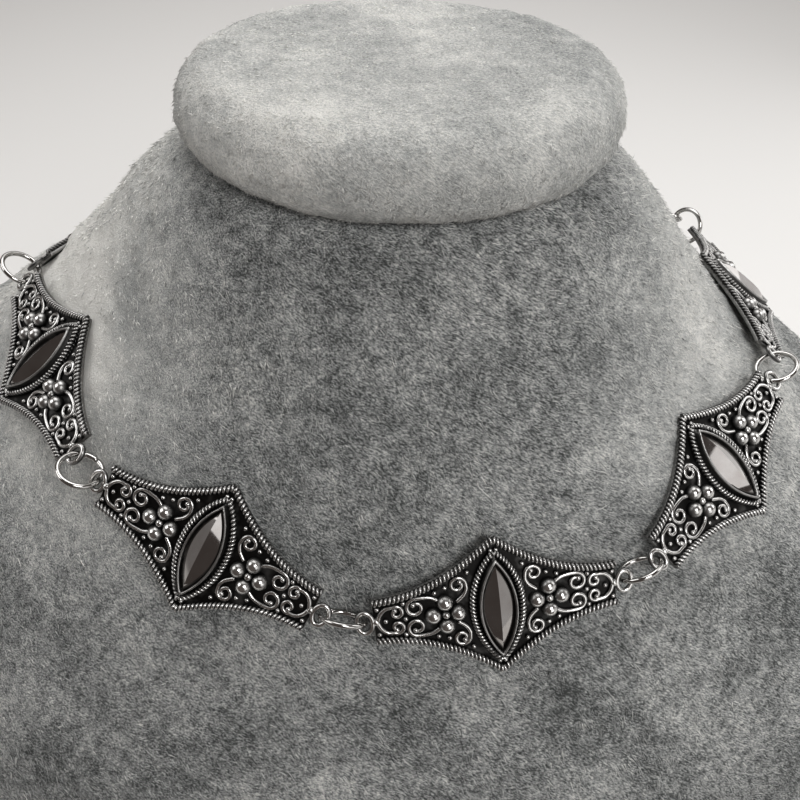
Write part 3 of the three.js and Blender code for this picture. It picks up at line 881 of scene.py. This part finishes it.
def roundedWork(name, node, levels):
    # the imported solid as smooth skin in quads; the bust's foot keeps its edge
    work = bmesh.new()
    work.from_mesh(nodes[node].data)
    bmesh.ops.remove_doubles(work, verts=work.verts, dist=1e-6)
    bmesh.ops.join_triangles(work, faces=work.faces, angle_face_threshold=0.6,
                             angle_shape_threshold=1.6, cmp_seam=False, cmp_sharp=False,
                             cmp_uvs=False, cmp_vcols=False, cmp_materials=False)
    low = min(v.co.z for v in work.verts)
    crease = work.edges.layers.float.new("crease_edge")
    for e in work.edges:
        onFoot = all(v.co.z < low + 1e-5 for v in e.verts)
        e[crease] = 1.0 if node == "bust_body" and onFoot else 0.0
    holder = bpy.data.objects.new(name + "_cage", meshOf(name, work))
    bpy.context.scene.collection.objects.link(holder)
    rounder = holder.modifiers.new("rounder", "SUBSURF")
    rounder.levels = rounder.render_levels = levels
    graph = bpy.context.evaluated_depsgraph_get()
    dense = bpy.data.meshes.new_from_object(holder.evaluated_get(graph))
    bpy.data.objects.remove(holder)
    work = bmesh.new()
    work.from_mesh(dense)
    bmesh.ops.recalc_face_normals(work, faces=work.faces)
    work.normal_update()
    return work


def clothHeight(v, node, values, metal):
    # how high the cloth stands over the solid at a point, in millimetres
    spot = v.co / mm
    side = values["leftPile"] * ease(-spot.x, nap["shoulderOut"]) \
        + values["rightPile"] * ease(spot.x, nap["shoulderOut"])
    height = values["pile"] + side * ease(spot.y, nap["shoulderBack"]) \
        + values["slow"] * noise.noise(spot / nap["slowSize"])
    height += values["tuft"] * (noise.turbulence(spot / values["tuftSize"], 2, False) - 0.5) * 2
    hit = metal.ray_cast(v.co, v.normal, (height + 1) * mm)
    if hit[0] is not None:
        height = min(height, hit[3] / mm - values["clear"])
    return height * ease(spot.z, nap["footUp"]) if node == "bust_body" else height


def plushPiece(name, node, values, metal):
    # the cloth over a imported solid, then the pile on it
    work = roundedWork(name, node, values["levels"])
    moves = [v.normal * clothHeight(v, node, values, metal) * mm for v in work.verts]
    for v, move in zip(work.verts, moves):
        v.co += move
    work.normal_update()
    mesh = bpy.data.meshes.new(name)
    work.to_mesh(mesh)
    spots = np.array([v.co / mm for v in mesh.vertices])
    # the cloth's shade, painted paler at the sides as a painted sheen
    shadeAt(mesh, values["cloth"] + paintedSideSheen(spots, values))
    piece = pieceOf(name, mesh, finishes["plush"], [node])
    pileOn(name, node, work, values, metal)
    work.free()
    print(name, len(mesh.polygons), "faces")


def fibreSpots(work, count, chance):
    # places spread over the skin, closest in front, and the skin's direction at each
    bmesh.ops.triangulate(work, faces=work.faces)
    corners = np.array([[v.co / mm for v in f.verts] for f in work.faces])
    normals = np.array([f.normal for f in work.faces])
    crossed = np.cross(corners[:, 1] - corners[:, 0], corners[:, 2] - corners[:, 0])
    middles = corners.mean(axis=1)
    share = np.where(middles[:, 1] < nap["frontEnds"], nap["frontShare"], nap["backShare"])
    areas = np.linalg.norm(crossed, axis=1) / 2 * (share * (middles[:, 2] > nap["lowest"]))
    chosen = np.sort(chance.choice(len(areas), count, p=areas / areas.sum()))
    a, b = np.sqrt(chance.random(count)), chance.random(count)
    spots = corners[chosen, 0] * (1 - a)[:, None] \
        + corners[chosen, 1] * (a * (1 - b))[:, None] \
        + corners[chosen, 2] * (a * b)[:, None]
    return spots, normals[chosen]


def pileOn(name, node, work, values, metal):
    # short fibres as closed spikes, leaning one way in slow swirls, in a few pieces by height
    chance = np.random.default_rng(11)
    count = values["fibres"]
    spots, up = fibreSpots(work, count, chance)
    flows, keeps, clumps = [], [], []
    for spot, out in zip(spots, up):
        place = Vector(spot)
        swirl = sum(amount * noise.noise(place / size + Vector(offset))
                    for amount, size, offset in nap["swirls"])
        turnMore = (values["turnRight"] - values["turn"]) * ease(place.x, nap["turnAcross"])
        flows.append(values["turn"] + turnMore + swirl)
        clumps.append(noise.noise(place / values["clump"]))
        start = (place + Vector(out) * 0.05) * mm
        keeps.append(metal.find_nearest(start, nap["clear"] * mm)[0] is None)
    flows, keeps, clumps = np.array(flows), np.array(keeps), np.array(clumps)
    level = np.cross(np.array([[0.0, 0.0, 1.0]]), up)
    level[np.linalg.norm(level, axis=1) < 0.25] = (1.0, 0.0, 0.0)  # where the skin lies flat
    level -= up * (level * up).sum(axis=1)[:, None]
    level /= np.linalg.norm(level, axis=1)[:, None]
    rising = np.cross(up, level)
    flows = flows + chance.normal(0, values["jitter"], count)
    lie = level * np.cos(flows)[:, None] + rising * np.sin(flows)[:, None]
    across = np.cross(up, lie)
    length = values["length"] * chance.uniform(*nap["lengths"], count)[:, None]
    width = values["width"] * chance.uniform(*nap["widths"], count)[:, None]
    lean = values["lean"] * chance.uniform(*nap["leans"], count)[:, None]
    foot = spots - up * nap["root"]
    tip = foot + (lie + up * lean) * length
    points = np.stack([foot + across * width / 2, foot - across * width / 2,
                       foot + up * width * nap["thick"], tip], axis=1)
    tone = values["tone"] + values["contrast"] * np.minimum(chance.normal(0, 1, count), 1.0)
    # random clumps, and the painted sheen on the sides
    tone += clumps * values["clumping"] + paintedSideSheen(spots, values)
    root = values["contrast"] * 2  # a spike is painted darker at its foot and paler at its tip, painted shade between the fibres
    shade = np.stack([tone - root, tone - root, tone, tone + root / 2], axis=1)
    order = np.argsort(spots[:, 2] + 1e-3 * spots[:, 0])
    order = order[keeps[order]]
    spike = np.array([(0, 2, 1), (0, 1, 3), (1, 2, 3), (2, 0, 3)])
    for part, picked in enumerate(np.array_split(order, values["parts"])):
        faces = np.arange(len(picked))[:, None, None] * 4 + spike
        places = points[picked].reshape(-1, 3) * mm
        mesh = bpy.data.meshes.new(f"{name}_pile{part}")
        mesh.from_pydata(places.tolist(), [], faces.reshape(-1, 3).tolist())
        shadeAt(mesh, shade[picked].ravel())
        piece = pieceOf(f"{name}_pile{part}", mesh, finishes["fibre"], [node])
        print(piece.name, len(mesh.polygons), "faces")


metal = metalTree()
plushPiece("bust_plush", "bust_body", bust, metal)
plushPiece("cap_plush", "bust_cap", cap, metal)


# floor and lights

studio = {
    "floor": (0.84, 0.83, 0.81), "floorHalf": 3, "floorFront": -0.14,  # metres
    "world": (0.90, 0.77, 0.71), "worldStrength": 0.11,
    "lamps": [  # place and aim in metres, size, power in watts
        {"place": (0.0, 0.12, 0.44), "aim": (0, -0.02, 0.1), "size": 0.28, "power": 0.66},
        {"place": (-0.42, -0.05, 0.42), "aim": (0, -0.02, 0.1), "size": 0.32, "power": 0.75},
        {"place": (0.45, 0.10, 0.34), "aim": (0, -0.02, 0.1), "size": 0.30, "power": 0.6},
        {"place": (0.16, -0.38, 0.44), "aim": (0, -0.02, 0.1), "size": 0.20, "power": 1.25},
        {"place": (0.0, 0.45, 0.50), "aim": (0, 0.45, 0), "size": 0.70, "power": 1.5},
        {"place": (0.14, -0.235, 0.12), "aim": (0.065, -0.045, 0.1), "size": 0.14, "power": 0.09},
        {"place": (0.36, -0.14, 0.04), "aim": (0, -0.08, 0.06), "size": 0.34, "power": 0.19},
        {"place": (-0.48, -0.02, 0.09), "aim": (0, -0.05, 0.09), "size": 0.34, "power": 0.07},
        {"place": (0.36, 0.22, 0.06), "aim": (0.06, -0.04, 0.1), "size": 0.26, "power": 0.2},
    ],
}


def addStudio():
    work = bmesh.new()
    bmesh.ops.create_grid(work, x_segments=1, y_segments=1, size=studio["floorHalf"])
    back = studio["floorHalf"] + studio["floorFront"]
    bmesh.ops.translate(work, verts=work.verts, vec=(0, back, 0))
    floor = bpy.data.objects.new("floor", meshOf("floor", work))
    bpy.context.scene.collection.objects.link(floor)
    paper = Finish("paleFloor")
    floor.data.materials.append(paper.set(Base_Color=(*studio["floor"], 1), Roughness=0.9))
    world = bpy.data.worlds.new("studio")
    world.use_nodes = True
    sky = world.node_tree.nodes["Background"]
    sky.inputs["Color"].default_value = (*studio["world"], 1)
    sky.inputs["Strength"].default_value = studio["worldStrength"]
    bpy.context.scene.world = world
    for k, lamp in enumerate(studio["lamps"]):
        light = bpy.data.lights.new(f"softLamp{k}", "AREA")
        light.size = lamp["size"]
        light.energy = lamp["power"]
        held = bpy.data.objects.new(light.name, light)
        held.location = lamp["place"]
        aim = Vector(lamp["aim"]) - Vector(lamp["place"])
        held.rotation_euler = aim.to_track_quat("-Z", "Y").to_euler()
        bpy.context.scene.collection.objects.link(held)
    bpy.context.scene.view_settings.view_transform = "Standard"


addStudio()
print("studio set")
